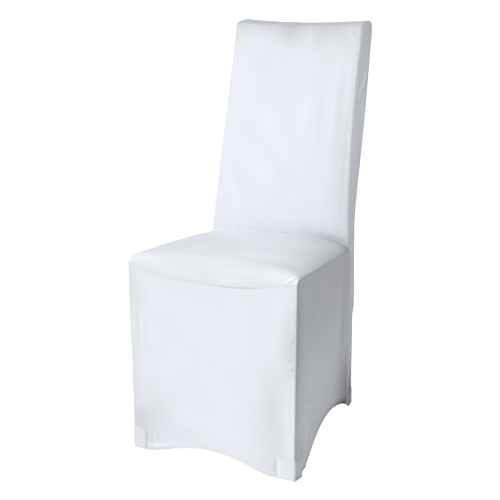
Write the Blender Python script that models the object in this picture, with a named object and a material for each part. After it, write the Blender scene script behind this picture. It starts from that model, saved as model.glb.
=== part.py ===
"""Stretch cover for a high-backed dining chair, in white spandex.

The cover is hollow and open at the floor. It is cut from nine panels: a seat panel that rolls
over the front of the cushion, a front skirt, two side skirts, an inside back, an outside back,
two side gussets that run from the floor to the top, and a top gusset. A heavier corner patch is
sewn over each of the four feet.

Each panel is a sheet between an outer and an inner surface. Both surfaces come from the same
functions: `depth` is how far a point lies inside the cover's outer skin. Panels meet at shared
seam lines and keep a small gap there.

Units are metres, +Z is up, the front of the chair faces -Y. Depths along y are counted from the
front feet, and the frame empty then moves the whole cover so that its footprint is centred.
"""
import bpy
import bmesh
import numpy as np

CLOTH = 0.002
SEAM_GAP = 0.0003
HALF_GAP = SEAM_GAP / 2
EDGE_TRIM = 0.0012

# Lower body: the seat box with the legs below it, all under the cloth.
SEAT_HALF_WIDTH = 0.2170
WIDTH_TAPER = 0.0485
SEAT_FRONT = -0.0015
BOX_BOTTOM = 0.272
BOX_STEP = 0.001
REAR_STEP = 0.010
BOX_STEP_HEIGHT = 0.030
LOWER_CORNER_RADIUS = 0.007
SIDE_SEAM_DEPTH = 0.4265
SIDE_SEAM_BEND = 34.0

# How far the taut cloth is pulled in between the legs at the hem, over which part of each face,
# and how far the front feet push it out at the sides.
FRONT_PULL = 0.007
FRONT_PULL_SHARE = 0.80
SIDE_PULL = 0.004
SIDE_PULL_HALF = 0.17
REAR_PULL = 0.008
REAR_PULL_SHARE = 0.75
FOOT_BULGE = 0.006
FOOT_BULGE_DEPTH = 0.028
FOOT_BULGE_LENGTH = 0.016
FOOT_BULGE_LEVEL = 0.046
FOOT_BULGE_TOP = 0.091

# Hem arches between the feet.
FRONT_ARCH = {"height": 0.029, "middle": -0.011, "half": 0.161, "power": 1.4}
SIDE_ARCH = {"height": 0.057, "middle": 0.262, "half": 0.186, "power": 0.9}
REAR_ARCH = {"height": 0.030, "middle": 0.0, "half": 0.150, "power": 1.3}

# Seat: side seams fall towards the back, the crown stands above them, the front rolls down.
SEAT_EDGE_HEIGHT = 0.4885
SEAT_EDGE_FALL = 0.082
SEAT_CORNER_DIP = 0.0075
SEAT_CORNER_LENGTH = 0.006
SEAT_CROWN_FRONT = 0.027
SEAT_CROWN_REAR = 0.028
SEAT_CROWN_SWELL = 0.008
SEAT_SWELL_POWER = 0.7
SEAT_CROWN_POWER = 3.5
SEAT_ROLL_DEPTH = 0.040
FRONT_SEAM_DIP = 0.0295

# Back: its edges, the swell and hollow of its faces, its top, and then sections of its side
# profile. Front and rear are depths, and inset is how much narrower it is than at the seat.
BACK_FOOT_HEIGHT = 0.457
BACK_CORNER_RADIUS = 0.009
BACK_SHARP_SHARE = 0.12
BACK_NARROWING_SHARE = 0.35
BACK_CROWN = 0.005
BACK_CROWN_SIDE_POWER = 1.5
BACK_CROWN_RISE_POWER = 0.6
BACK_HOLLOW = 0.004
GUSSET_HOLLOW = 0.0015
GUSSET_HOLLOW_START = 0.2
GUSSET_HOLLOW_END = 0.1
TOP_FRONT_HEIGHT = 1.0150
TOP_REAR_HEIGHT = 1.0210
TOP_SAG = 0.0060
TOP_REAR_SAG = 0.0085
TOP_SAG_MIDDLE = -0.02
TOP_HALF_GAP = 1.4 * HALF_GAP

PROFILE_COLUMNS = ("height", "front", "rear", "inset")
PROFILE = (
    (0.000, 0.4040, 0.4900, 0.0000),
    (0.100, 0.4040, 0.4840, 0.0000),
    (0.272, 0.4040, 0.4768, 0.0000),
    (0.430, 0.4040, 0.4640, 0.0000),
    (0.457, 0.4040, 0.4615, 0.0000),
    (0.520, 0.4095, 0.4695, 0.0034),
    (0.600, 0.4230, 0.4935, 0.0074),
    (0.700, 0.4450, 0.5290, 0.0117),
    (0.800, 0.4685, 0.5635, 0.0149),
    (0.900, 0.4945, 0.5875, 0.0170),
    (0.960, 0.5135, 0.5990, 0.0172),
    (0.990, 0.5225, 0.6035, 0.0167),
    (1.030, 0.5345, 0.5995, 0.0160),
)

# Foot patches: height of the wing on the front or rear face and of the wing on the side, and how
# many of the side's grid lines that wing covers. The other wing starts at PATCH_ACROSS.
PATCH_CLOTH = 0.0016
PATCH_LIFT = 0.0005
PATCH_ACROSS = 0.80
PATCH_ROWS = (0.0, 0.35, 0.70, 1.0)
FRONT_PATCH = {"face_height": 0.053, "side_height": 0.043, "side_lines": 6}
REAR_PATCH = {"face_height": 0.046, "side_height": 0.041, "side_lines": 5}

# Where the grid lines of the panels lie, as shares of a half-width, a height or a strip.
ACROSS_HALF = (0.0, 0.14, 0.28, 0.42, 0.56, 0.69, 0.80, 0.90, 0.955, 0.98, 1.0)
SKIRT_ROWS = (0.0, 0.096, 0.19, 0.28, 0.38, 0.47, 0.55, 0.59, 0.63, 0.74, 0.86, 0.94, 0.975, 1.0)
BACK_ROWS = (0.0, 0.03, 0.08, 0.16, 0.27, 0.38, 0.49, 0.60, 0.70, 0.79, 0.87, 0.93, 0.97, 0.989, 1.0)
GUSSET_COLUMNS = (0.0, 0.07, 0.16, 0.40, 0.64, 0.84, 0.93, 1.0)
SEAT_FLAT_ROWS = (0.0, 0.05, 0.18, 0.34, 0.50, 0.66, 0.80, 0.92, 1.0)
SEAT_ROLL_STEPS = 5

CREASE_ANGLE = np.radians(50.0)
SPANDEX = {"name": "white spandex", "color": (0.83, 0.86, 0.91, 1.0), "roughness": 0.62}
HEAVY_CLOTH = {"name": "white patch cloth", "color": (0.90, 0.92, 0.93, 1.0), "roughness": 0.72}


def smooth_step(share):
    """Rise from 0 to 1 with level ends."""
    share = np.clip(share, 0.0, 1.0)
    return share * share * (3.0 - 2.0 * share)


def bump(place):
    """One at 0, falling to 0 at -1 and 1 and staying there."""
    return np.clip(1.0 - place**2, 0.0, 1.0)


def profile(column, height):
    """Read one column of PROFILE as a smooth curve through its rows."""
    table = np.array(PROFILE)
    known = table[:, 0]
    value = table[:, PROFILE_COLUMNS.index(column)]
    slope = np.gradient(value, known)
    height = np.clip(height, known[0], known[-1])
    row = np.clip(np.searchsorted(known, height) - 1, 0, len(known) - 2)
    span = known[row + 1] - known[row]
    share = (height - known[row]) / span
    rise = value[row + 1] - value[row]
    bend = slope[row] * span * (1.0 - share) - slope[row + 1] * span * share
    return value[row] + smooth_step(share) * rise + share * (1.0 - share) * bend


def arch(sizes, place):
    """Height of a hem above the floor: an arch over its span, and 0 at the feet."""
    share = np.clip((place - sizes["middle"]) / sizes["half"], -1.0, 1.0)
    return sizes["height"] * (1.0 - share**2) ** sizes["power"]


def box_step(height):
    """How far the cloth lies inside the seat box's face, below the bottom of the box."""
    above = (height - BOX_BOTTOM) / BOX_STEP_HEIGHT + 0.5
    return BOX_STEP * (1.0 - smooth_step(above))


def rear_face(height):
    """Depth of the rear face: below the box the cloth falls in to the rear legs."""
    return profile("rear", height) - REAR_STEP / BOX_STEP * box_step(height)


def pull(height):
    """Share of the pull between the legs: 0 at the box, 1 at the floor."""
    return smooth_step((BOX_BOTTOM - height) / BOX_BOTTOM)


def half_width(y, height):
    """Half the width of the lower body at a depth and height."""
    return SEAT_HALF_WIDTH - WIDTH_TAPER * y - box_step(height)


def side_edge_height(y):
    """Height of the seam between the seat and a side skirt."""
    dip = SEAT_CORNER_DIP * np.exp(-(y - SEAT_FRONT) / SEAT_CORNER_LENGTH)
    return SEAT_EDGE_HEIGHT - SEAT_EDGE_FALL * y - dip


CORNER_HEIGHT = side_edge_height(SEAT_FRONT)
CREASE_DEPTH = float(profile("front", BACK_FOOT_HEIGHT))
BACK_HALF_WIDTH = half_width(CREASE_DEPTH, BACK_FOOT_HEIGHT)
SEAT_REAR_EDGE = side_edge_height(CREASE_DEPTH)


def front_seam_height(across):
    """Height of the seam under the seat's front roll, fuller on the left."""
    return CORNER_HEIGHT - FRONT_SEAM_DIP * (1.0 - np.abs(across) ** (3.0 - across))


def crown_share(across):
    """Share of the seat's crown across its width: round at the sides, flat in the middle."""
    return np.sqrt(np.clip(1.0 - np.abs(across) ** SEAT_CROWN_POWER, 0.0, 1.0))


def crease_height(across):
    """Height of the crease between the seat and the inside back."""
    return SEAT_REAR_EDGE + SEAT_CROWN_REAR * crown_share(across)


def top_height(across, share):
    """Height of the top gusset, from its front seam (share 0) to its rear seam (share 1)."""
    level = TOP_FRONT_HEIGHT + (TOP_REAR_HEIGHT - TOP_FRONT_HEIGHT) * share
    sag = TOP_SAG + (TOP_REAR_SAG - TOP_SAG) * share
    return level + sag * (across - TOP_SAG_MIDDLE * (1.0 - across**2)) ** 2


def soften(*overs):
    """Turn a square corner into a round one: overs are distances past the start of the round."""
    size = np.sqrt(sum(over**2 for over in overs))
    largest = np.maximum.reduce(np.broadcast_arrays(*overs))
    scale = np.where(size > 0, largest / np.where(size > 0, size, 1.0), 1.0)
    return [over * (1.0 - scale) for over in overs]


def round_edges(x, y, z, width, front, rear, top, radius):
    """Round the edges of a box-like body that has these faces."""
    past_side = np.maximum(np.abs(x) - (width - radius), 0.0)
    past_front = np.maximum(front + radius - y, 0.0)
    past_rear = np.maximum(y - (rear - radius), 0.0)
    past_top = np.maximum(z - (top - radius), 0.0)
    side, fore, aft, up = soften(past_side, past_front, past_rear, past_top)
    return np.stack([x - np.sign(x) * side, y + fore - aft, z - up], axis=-1)


def round_lower(x, y, z, depth):
    """Round the upright corners of the lower body."""
    return round_edges(
        x, y, z,
        half_width(y, z) - depth,
        SEAT_FRONT + box_step(z) + depth,
        rear_face(z) - depth,
        np.inf,
        LOWER_CORNER_RADIUS - depth,
    )


def across_lines():
    """Grid lines across the whole width, -1 at the left side and 1 at the right."""
    half = np.array(ACROSS_HALF)
    return np.concatenate([-half[:0:-1], half])


def front_surface(across, z, depth):
    """Front face of the lower body."""
    front = SEAT_FRONT + box_step(z) + depth
    x = across * (half_width(SEAT_FRONT, z) - depth)
    point = round_lower(x, front + 0 * x, z + 0 * x, depth)
    point[..., 1] += FRONT_PULL * pull(z) * bump(across / FRONT_PULL_SHARE) ** 2
    return point


def side_surface(y, z, depth):
    """Right face of the lower body."""
    x = half_width(y, z) - depth
    point = round_lower(x, y + 0 * x, z + 0 * x, depth)
    between = bump((y - SIDE_ARCH["middle"]) / SIDE_PULL_HALF)
    fade = np.clip((FOOT_BULGE_TOP - z) / (FOOT_BULGE_TOP - FOOT_BULGE_LEVEL), 0.0, 1.0)
    foot = np.exp(-(((y - FOOT_BULGE_DEPTH) / FOOT_BULGE_LENGTH) ** 2)) * fade
    point[..., 0] += FOOT_BULGE * foot - SIDE_PULL * pull(z) * between**2
    return point


def rear_surface(across, z, depth):
    """Rear face of the lower body."""
    rear = rear_face(z) - depth
    x = across * (half_width(rear + depth, z) - depth)
    point = round_lower(x, rear + 0 * x, z + 0 * x, depth)
    point[..., 1] -= REAR_PULL * pull(z) * bump(across / REAR_PULL_SHARE) ** 2
    return point


def seat_rows():
    """Depth shares of the seat's rows: the roll's angle, then the flat part's share."""
    angles = np.linspace(np.pi / 2, 0.0, SEAT_ROLL_STEPS + 1)[:-1]
    roll = np.stack([angles, np.zeros_like(angles)], axis=-1)
    flat = np.stack([np.zeros(len(SEAT_FLAT_ROWS)), np.array(SEAT_FLAT_ROWS)], axis=-1)
    return np.concatenate([roll, flat])


def seat_depth(angle, flat, end):
    """Depth y of a seat row: the roll starts at the front, the flat part ends at `end`."""
    start = SEAT_FRONT + SEAT_ROLL_DEPTH
    return start - SEAT_ROLL_DEPTH * np.sin(angle) + flat * (end - start)


def seat_panel(depth):
    """Seat panel from the seam under its front roll to the crease at the back."""
    across = across_lines()[None, :]
    angle, flat = seat_rows().T[:, :, None]
    end = profile("front", crease_height(across)) - HALF_GAP
    y = seat_depth(angle, flat, end)
    swell = SEAT_CROWN_SWELL * (4.0 * flat * (1.0 - flat)) ** SEAT_SWELL_POWER
    crown = SEAT_CROWN_FRONT + (SEAT_CROWN_REAR - SEAT_CROWN_FRONT) * flat + swell - depth
    drop = CORNER_HEIGHT - front_seam_height(across)
    base = side_edge_height(y) - drop * (1.0 - np.cos(angle))
    z = base + crown * crown_share(across) * np.cos(angle) + HALF_GAP
    share = (seat_depth(angle, flat, CREASE_DEPTH) - SEAT_FRONT) / (CREASE_DEPTH - SEAT_FRONT)
    inner_y = y + depth * (1.0 - share) + depth * flat**6 * crown_share(across)
    x = across * (half_width(y, BOX_BOTTOM + BOX_STEP_HEIGHT) - depth)
    return round_lower(x, inner_y, z, depth)


def front_skirt(depth):
    """Front skirt from the arched hem to the seam under the seat's roll."""
    seam_across = across_lines()[None, :]
    rows = np.array(SKIRT_ROWS)[:, None]
    across = seam_across * (1.0 - EDGE_TRIM)
    hem = arch(FRONT_ARCH, across * SEAT_HALF_WIDTH)
    z = hem + rows * (front_seam_height(seam_across) - HALF_GAP - hem)
    return front_surface(across, z, depth)


def side_seam(rows):
    """Depth and height of the seam between a side skirt and its gusset, bottom to top."""
    y = SIDE_SEAM_DEPTH - (SIDE_SEAM_DEPTH - CREASE_DEPTH) * rows**SIDE_SEAM_BEND
    hem = arch(SIDE_ARCH, SIDE_SEAM_DEPTH)
    return y, hem + rows * (BACK_FOOT_HEIGHT - hem)


def side_shares():
    """How far back each upright line of a side skirt lies, 0 at the front and 1 at the seam."""
    angle, flat = seat_rows().T
    depths = seat_depth(angle, flat, CREASE_DEPTH)
    return depths, (depths - SEAT_FRONT) / (CREASE_DEPTH - SEAT_FRONT)


def skirt_line(share, rows, z, depth):
    """Depth y of a side skirt's upright lines at the given rows."""
    fore = SEAT_FRONT + box_step(z) + depth
    aft = side_seam(rows)[0] - SEAM_GAP
    return fore + share * (aft - fore)


def side_skirt(depth):
    """Right side skirt, from the front corner to the gusset."""
    rows = np.array(SKIRT_ROWS)[:, None]
    top_y, share = (values[None, :] for values in side_shares())
    edge = side_edge_height(top_y) - HALF_GAP
    y = skirt_line(share, rows, rows * edge, depth)
    hem = arch(SIDE_ARCH, y)
    z = hem + rows * (edge - hem)
    y = skirt_line(share, rows, z, depth) + SEAM_GAP * (1.0 - share)
    return side_surface(y, z, depth)


def back_width(rows):
    """Half the width of the back's front face, from the seat (0) to the top (1)."""
    height = BACK_FOOT_HEIGHT + rows * (top_height(1.0, 0.0) - BACK_FOOT_HEIGHT)
    return BACK_HALF_WIDTH - profile("inset", height)


def back_radius(rows, depth):
    """Radius of the back's edges, sharp at the seat and round from a hand's width up."""
    rounding = smooth_step(rows / BACK_SHARP_SHARE)
    return np.maximum(CLOTH + (BACK_CORNER_RADIUS - CLOTH) * rounding - depth, 0.0)


def narrowing(rows, y, front):
    """Loss of half-width from the front to the rear of the back, none higher up."""
    return WIDTH_TAPER * (1.0 - smooth_step(rows / BACK_NARROWING_SHARE)) * (y - front)


def round_back(x, y, z, rows, top, depth):
    """Round the edges of the back."""
    front = profile("front", z)
    width = back_width(rows) - narrowing(rows, y, front)
    return round_edges(
        x, y, z,
        width - depth, front + depth, profile("rear", z) - depth, top - depth,
        back_radius(rows, depth),
    )


def inside_back(depth):
    """Panel that the sitter leans on, from the crease to the top's front seam."""
    seam_across = across_lines()[None, :]
    rows = np.array(BACK_ROWS)[:, None]
    across = seam_across * (1.0 - EDGE_TRIM)
    top = top_height(seam_across, 0.0)
    low = crease_height(seam_across) + SEAM_GAP + HALF_GAP - depth * crown_share(seam_across)
    z = low + rows * (top - TOP_HALF_GAP - depth - low)
    x = across * (back_width(rows) - depth)
    y = profile("front", z) + depth + 0 * x
    point = round_back(x, y, z, rows, top, depth)
    swell = (1.0 - across**2) ** BACK_CROWN_SIDE_POWER
    point[..., 1] -= BACK_CROWN * swell * (4.0 * rows * (1.0 - rows)) ** BACK_CROWN_RISE_POWER
    return point


def gusset_rows():
    """Front and rear corner of each row of the right gusset, from the hem to the top."""
    skirt = np.array(SKIRT_ROWS)
    seam_y, seam_z = side_seam(skirt)
    rear_z = skirt * BACK_FOOT_HEIGHT
    back = np.array(BACK_ROWS)[1:]
    front_top = top_height(1.0, 0.0) - TOP_HALF_GAP
    rear_top = top_height(1.0, 1.0) - TOP_HALF_GAP
    front_z = np.concatenate([seam_z, BACK_FOOT_HEIGHT + back * (front_top - BACK_FOOT_HEIGHT)])
    rear_z = np.concatenate([rear_z, BACK_FOOT_HEIGHT + back * (rear_top - BACK_FOOT_HEIGHT)])
    front_y = np.concatenate([seam_y, profile("front", front_z[len(skirt):])])
    share = np.concatenate([np.zeros(len(skirt)), back])
    return front_y, front_z, rear_z, share


def gusset_line(column, front_y, z, depth):
    """Depth y of the lower gusset's upright lines."""
    aft = rear_face(z) - depth
    return front_y + column * (aft - front_y)


def side_gusset(depth):
    """Right gusset: a strip over the rear leg that widens into the side of the back."""
    front_y, front_z, rear_z, share = (values[:, None] for values in gusset_rows())
    column = np.array(GUSSET_COLUMNS)[None, :]
    upper = share > 0
    fore = front_y + SEAM_GAP
    fore = np.where(front_z >= BACK_FOOT_HEIGHT - SEAM_GAP, fore + depth, fore)
    z = front_z + column * (rear_z - front_z) - np.where(upper, depth * share, 0.0)
    y = gusset_line(column, fore, z, depth) - SEAM_GAP * column
    hem = arch(SIDE_ARCH, y)
    row = rear_z / BACK_FOOT_HEIGHT
    z = np.where(upper, z, hem + row * (BACK_FOOT_HEIGHT - hem))
    y = np.where(upper, fore + column * (profile("rear", z) - depth - SEAM_GAP - fore), y)
    lower = side_surface(y, z, depth)
    x = back_width(share) - narrowing(share, y, profile("front", z)) - depth
    above = round_back(x, y, z, share, top_height(1.0, column), depth)
    fade = smooth_step(share / GUSSET_HOLLOW_START) * smooth_step((1.0 - share) / GUSSET_HOLLOW_END)
    above[..., 0] -= GUSSET_HOLLOW * 4.0 * column * (1.0 - column) * fade
    return np.where(upper[..., None], above, lower)


def outside_back(depth):
    """Rear panel from the hem to the top's rear seam."""
    seam_across = across_lines()[None, :]
    _, _, rear_z, share = (values[:, None] for values in gusset_rows())
    across = seam_across * (1.0 - EDGE_TRIM)
    hem = arch(REAR_ARCH, across * BACK_HALF_WIDTH)
    top = top_height(seam_across, 1.0)
    upper = share > 0
    top_edge = top - TOP_HALF_GAP - depth
    upper_z = BACK_FOOT_HEIGHT + share * (top_edge - BACK_FOOT_HEIGHT)
    lower_z = hem + rear_z / BACK_FOOT_HEIGHT * (BACK_FOOT_HEIGHT - hem)
    z = np.where(upper, upper_z, lower_z)
    lower = rear_surface(across, z, depth)
    rear = profile("rear", z)
    width = back_width(share) - narrowing(share, rear, profile("front", z))
    above = round_back(across * (width - depth), rear - depth, z, share, top, depth)
    hollow = (1.0 - across**2) * np.sqrt(4.0 * share * (1.0 - share))
    above[..., 1] -= BACK_HOLLOW * hollow
    return np.where(upper[..., None], above, lower)


def top_gusset(depth):
    """Strip over the top of the back, between the two side gussets."""
    seam_across = across_lines()[None, :]
    column = np.array(GUSSET_COLUMNS)[:, None]
    across = seam_across * (1.0 - EDGE_TRIM)
    top = top_height(seam_across, column)
    fore = profile("front", top_height(seam_across, 0.0)) + depth + TOP_HALF_GAP
    aft = profile("rear", top_height(seam_across, 1.0)) - depth - TOP_HALF_GAP
    y = fore + column * (aft - fore)
    x = across * (back_width(1.0) - depth)
    return round_back(x, y, top - depth, 1.0, top, depth)


def foot_patch(sizes, face, side, side_lines):
    """Corner patch over a foot: one wing on the front or rear face, one on the side.

    `face` and `side` give points on the two faces, and `side_lines` are the side's upright
    lines that the wing covers, starting at the corner.
    """
    rows = np.array(PATCH_ROWS)[:, None]
    lines = across_lines()
    face_lines = lines[lines >= PATCH_ACROSS][None, :]
    side_lines = side_lines[None, :]
    rise = PATCH_LIFT + rows * (sizes["face_height"] - PATCH_LIFT)
    fall = PATCH_LIFT + rows * (sizes["side_height"] - PATCH_LIFT)
    layers = []
    for depth in (-SEAM_GAP - PATCH_CLOTH, -SEAM_GAP):
        wings = (face(face_lines, rise, depth), side(side_lines, fall, depth))
        layers.append(np.concatenate(wings, axis=1))
    return layers


def front_patch():
    """Patch over the right front foot."""
    hem_share = 1.0 - np.array(PATCH_ROWS)[:, None]

    def face(across, z, depth):
        return front_surface(across, z + hem_share * arch(FRONT_ARCH, across * SEAT_HALF_WIDTH), depth)

    def side(share, z, depth):
        y = skirt_line(share, np.zeros_like(z), z, depth)
        return side_surface(y, z, depth)

    _, shares = side_shares()
    return foot_patch(FRONT_PATCH, face, side, shares[1 : FRONT_PATCH["side_lines"] + 1])


def rear_patch():
    """Patch over the right rear foot."""
    hem_share = 1.0 - np.array(PATCH_ROWS)[:, None]

    def face(across, z, depth):
        return rear_surface(across, z + hem_share * arch(REAR_ARCH, across * BACK_HALF_WIDTH), depth)

    def side(column, z, depth):
        y = gusset_line(column, SIDE_SEAM_DEPTH + SEAM_GAP, z, depth)
        return side_surface(y, z + hem_share * arch(SIDE_ARCH, y), depth)

    columns = np.array(GUSSET_COLUMNS)[::-1]
    return foot_patch(REAR_PATCH, face, side, columns[1 : REAR_PATCH["side_lines"] + 1])


def mirrored(layers):
    """The same layers on the left side."""
    return [layer * np.array((-1.0, 1.0, 1.0)) for layer in layers]


def cloth_material(finish):
    """One matt cloth finish."""
    material = bpy.data.materials.new(finish["name"])
    material.use_nodes = True
    shader = material.node_tree.nodes["Principled BSDF"]
    shader.inputs["Base Color"].default_value = finish["color"]
    shader.inputs["Roughness"].default_value = finish["roughness"]
    shader.inputs["Metallic"].default_value = 0.0
    return material


def add_sheet(name, layers, material, frame):
    """Make one closed sheet from its outer and inner grids of points."""
    outer, inner = layers
    rows, columns = outer.shape[:2]
    everything = np.concatenate([outer.reshape(-1, 3), inner.reshape(-1, 3)])
    middle = 0.5 * (everything.min(axis=0) + everything.max(axis=0))
    shape = bmesh.new()
    points = [shape.verts.new(point - middle) for point in everything]
    grid = np.arange(rows * columns).reshape(rows, columns)
    for layer in (grid, grid + rows * columns):
        for row in range(rows - 1):
            for column in range(columns - 1):
                corners = (
                    layer[row, column], layer[row, column + 1],
                    layer[row + 1, column + 1], layer[row + 1, column],
                )
                shape.faces.new([points[corner] for corner in corners])
    rim = np.concatenate([grid[0, :-1], grid[:-1, -1], grid[-1, :0:-1], grid[:0:-1, 0]])
    for start, end in zip(rim, np.roll(rim, -1)):
        corners = (start, end, end + rows * columns, start + rows * columns)
        shape.faces.new([points[corner] for corner in corners])
    bmesh.ops.recalc_face_normals(shape, faces=shape.faces)
    mesh = bpy.data.meshes.new(name)
    shape.to_mesh(mesh)
    shape.free()
    mesh.shade_smooth()
    mesh.set_sharp_from_angle(angle=CREASE_ANGLE)
    mesh.materials.append(material)
    sheet = bpy.data.objects.new(name, mesh)
    sheet.parent = frame
    sheet.location = middle
    bpy.context.scene.collection.objects.link(sheet)


def sheet_layers(surface):
    """Outer and inner grid of one panel."""
    return [surface(0.0), surface(CLOTH)]


def main():
    """Build all the panels and patches in an empty scene."""
    for item in list(bpy.data.objects):
        bpy.data.objects.remove(item)
    spandex = cloth_material(SPANDEX)
    heavy = cloth_material(HEAVY_CLOTH)
    panels = {
        "seat": sheet_layers(seat_panel),
        "front_skirt": sheet_layers(front_skirt),
        "inside_back": sheet_layers(inside_back),
        "outside_back": sheet_layers(outside_back),
        "top_gusset": sheet_layers(top_gusset),
    }
    patches = {}
    for side, turn in (("right", list), ("left", mirrored)):
        panels["side_skirt_" + side] = turn(sheet_layers(side_skirt))
        panels["side_gusset_" + side] = turn(sheet_layers(side_gusset))
        patches["foot_patch_front_" + side] = turn(front_patch())
        patches["foot_patch_rear_" + side] = turn(rear_patch())
    every_layer = sum((list(layers) for layers in (panels | patches).values()), [])
    fore = min(layer[..., 1].min() for layer in every_layer)
    aft = max(layer[..., 1].max() for layer in every_layer)
    frame = bpy.data.objects.new("cover_frame", None)
    frame.location = (0.0, -0.5 * (fore + aft), 0.0)
    bpy.context.scene.collection.objects.link(frame)
    for name, layers in panels.items():
        add_sheet(name, layers, spandex, frame)
    for name, layers in patches.items():
        add_sheet(name, layers, heavy, frame)


main()
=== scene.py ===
# %% [markdown]
# # A stretch cover for a high-backed dining chair
#
# The object is a white spandex cover, pulled tight over a chair. The chair is not part of it, so
# the cover stands here as a hollow shell that is open at the floor. The lesson rebuilds it as thin
# cloth: each panel is a smooth surface in two directions, and the seams, hems, puckers and tension
# folds are small heights that lift it off the smooth shell or press it in.
#
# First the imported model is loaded. It gives the names of the parts and where they stand.

import math

import bpy
import numpy as np
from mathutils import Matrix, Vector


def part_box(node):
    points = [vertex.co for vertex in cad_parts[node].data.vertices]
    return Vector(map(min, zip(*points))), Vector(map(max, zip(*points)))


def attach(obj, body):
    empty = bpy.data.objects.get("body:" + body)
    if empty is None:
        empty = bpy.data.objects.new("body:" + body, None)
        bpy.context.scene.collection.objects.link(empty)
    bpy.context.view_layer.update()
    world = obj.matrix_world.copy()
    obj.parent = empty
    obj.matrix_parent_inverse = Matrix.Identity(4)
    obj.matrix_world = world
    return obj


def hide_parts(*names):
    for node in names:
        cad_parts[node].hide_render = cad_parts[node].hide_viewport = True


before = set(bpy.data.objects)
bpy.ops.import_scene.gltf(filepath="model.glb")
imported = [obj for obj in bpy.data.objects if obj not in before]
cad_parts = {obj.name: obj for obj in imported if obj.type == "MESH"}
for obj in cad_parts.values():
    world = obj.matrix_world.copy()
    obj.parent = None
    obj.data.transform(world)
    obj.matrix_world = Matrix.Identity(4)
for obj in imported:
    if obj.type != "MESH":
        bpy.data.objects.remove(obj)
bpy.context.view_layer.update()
print("parts:", sorted(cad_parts))

# %% [markdown]
# ## Sizes
#
# All sizes are in metres, unless a table's column says mm. Depths along y are counted from the front
# feet, and SHIFT then moves the cover so that its footprint is centred. The back's side profile is a
# short table: at each height it gives the depth of the front face and of the rear face, and how much
# narrower the back is than at the seat. That is enough for the slow curve of the rake and the flare
# of the rear.

# %% Sizes of the shell
SEAM_GAP = 0.0003
HALF_GAP = SEAM_GAP / 2
EDGE_TRIM = 0.0012
SHARP_EDGE = 0.002

SEAT_HALF_WIDTH = 0.2170
WIDTH_TAPER = 0.0485
SEAT_FRONT = -0.0015
BOX_BOTTOM = 0.272
BOX_STEP = 0.001
REAR_STEP = 0.010
BOX_STEP_HEIGHT = 0.030
LOWER_CORNER_RADIUS = 0.004
SIDE_SEAM_DEPTH = 0.4265
SIDE_SEAM_BEND = 34.0

FRONT_PULL, FRONT_PULL_SHARE = 0.007, 0.80
SIDE_PULL, SIDE_PULL_HALF = 0.004, 0.17
REAR_PULL, REAR_PULL_SHARE = 0.008, 0.75
FOOT_BULGE, FOOT_BULGE_DEPTH, FOOT_BULGE_LENGTH = 0.006, 0.028, 0.016
FOOT_BULGE_LEVEL, FOOT_BULGE_TOP = 0.046, 0.091

FRONT_ARCH = {"height": 0.029, "middle": -0.011, "half": 0.161, "power": 1.4}
SIDE_ARCH = {"height": 0.057, "middle": 0.262, "half": 0.186, "power": 0.9}
REAR_ARCH = {"height": 0.030, "middle": 0.0, "half": 0.150, "power": 1.3}

SEAT_EDGE_HEIGHT = 0.4885
SEAT_EDGE_FALL = 0.082
SEAT_CORNER_DIP, SEAT_CORNER_LENGTH = 0.0075, 0.006
SEAT_CROWN_FRONT, SEAT_CROWN_REAR, SEAT_CROWN_SWELL = 0.027, 0.028, 0.008
SEAT_SWELL_POWER, SEAT_CROWN_POWER = 0.7, 3.5
SEAT_ROLL_DEPTH = 0.040
FRONT_SEAM_DIP, FRONT_SEAM_POWER = 0.0295, 3.0

BACK_FOOT_HEIGHT = 0.457
BACK_CORNER_RADIUS = 0.006
TOP_REAR_ROUND, TOP_REAR_SHARE, TOP_REAR_PLACE, TOP_REAR_LENGTH = 0.007, 0.06, 0.570, 0.030
BACK_SHARP_SHARE, BACK_NARROWING_SHARE = 0.12, 0.35
BACK_CROWN, BACK_CROWN_SIDE_POWER, BACK_CROWN_RISE_POWER = 0.005, 1.5, 0.6
BACK_HOLLOW = 0.004
GUSSET_HOLLOW, GUSSET_HOLLOW_START, GUSSET_HOLLOW_END = 0.0015, 0.2, 0.1
TOP_FRONT_HEIGHT, TOP_REAR_HEIGHT = 1.0150, 1.0210
TOP_SAG, TOP_REAR_SAG, TOP_SAG_MIDDLE = 0.0060, 0.0085, -0.02
TOP_HALF_GAP = 1.4 * HALF_GAP
CREASE_TUCK = 0.0001

PROFILE_COLUMNS = ("height", "front", "rear", "inset")
PROFILE = np.array((
    (0.000, 0.4040, 0.4900, 0.0000),
    (0.100, 0.4040, 0.4840, 0.0000),
    (0.272, 0.4040, 0.4768, 0.0000),
    (0.430, 0.4040, 0.4640, 0.0000),
    (0.457, 0.4040, 0.4615, 0.0000),
    (0.520, 0.4095, 0.4695, 0.0034),
    (0.600, 0.4230, 0.4935, 0.0074),
    (0.700, 0.4450, 0.5290, 0.0117),
    (0.800, 0.4685, 0.5635, 0.0149),
    (0.900, 0.4945, 0.5875, 0.0170),
    (0.960, 0.5135, 0.5990, 0.0172),
    (0.990, 0.5225, 0.6035, 0.0167),
    (1.030, 0.5345, 0.5995, 0.0160),
))

PATCH_GAP = 0.0003
PATCH_LIFT = 0.0005
PATCH_ACROSS = 0.80
LEFT_PATCH_ACROSS, LEFT_PATCH_RISE = 0.832, 0.005
PATCH_MARGIN = 0.004
REAR_PATCH_START = 0.440
FRONT_PATCH = {"face_height": 0.053, "side_height": 0.043, "side_length": 0.040}
REAR_PATCH = {"face_height": 0.046, "side_height": 0.041, "side_length": 0.044}

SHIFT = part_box("seat")[0][1] - SEAT_FRONT
print("depths are moved by", round(SHIFT, 4))

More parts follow.
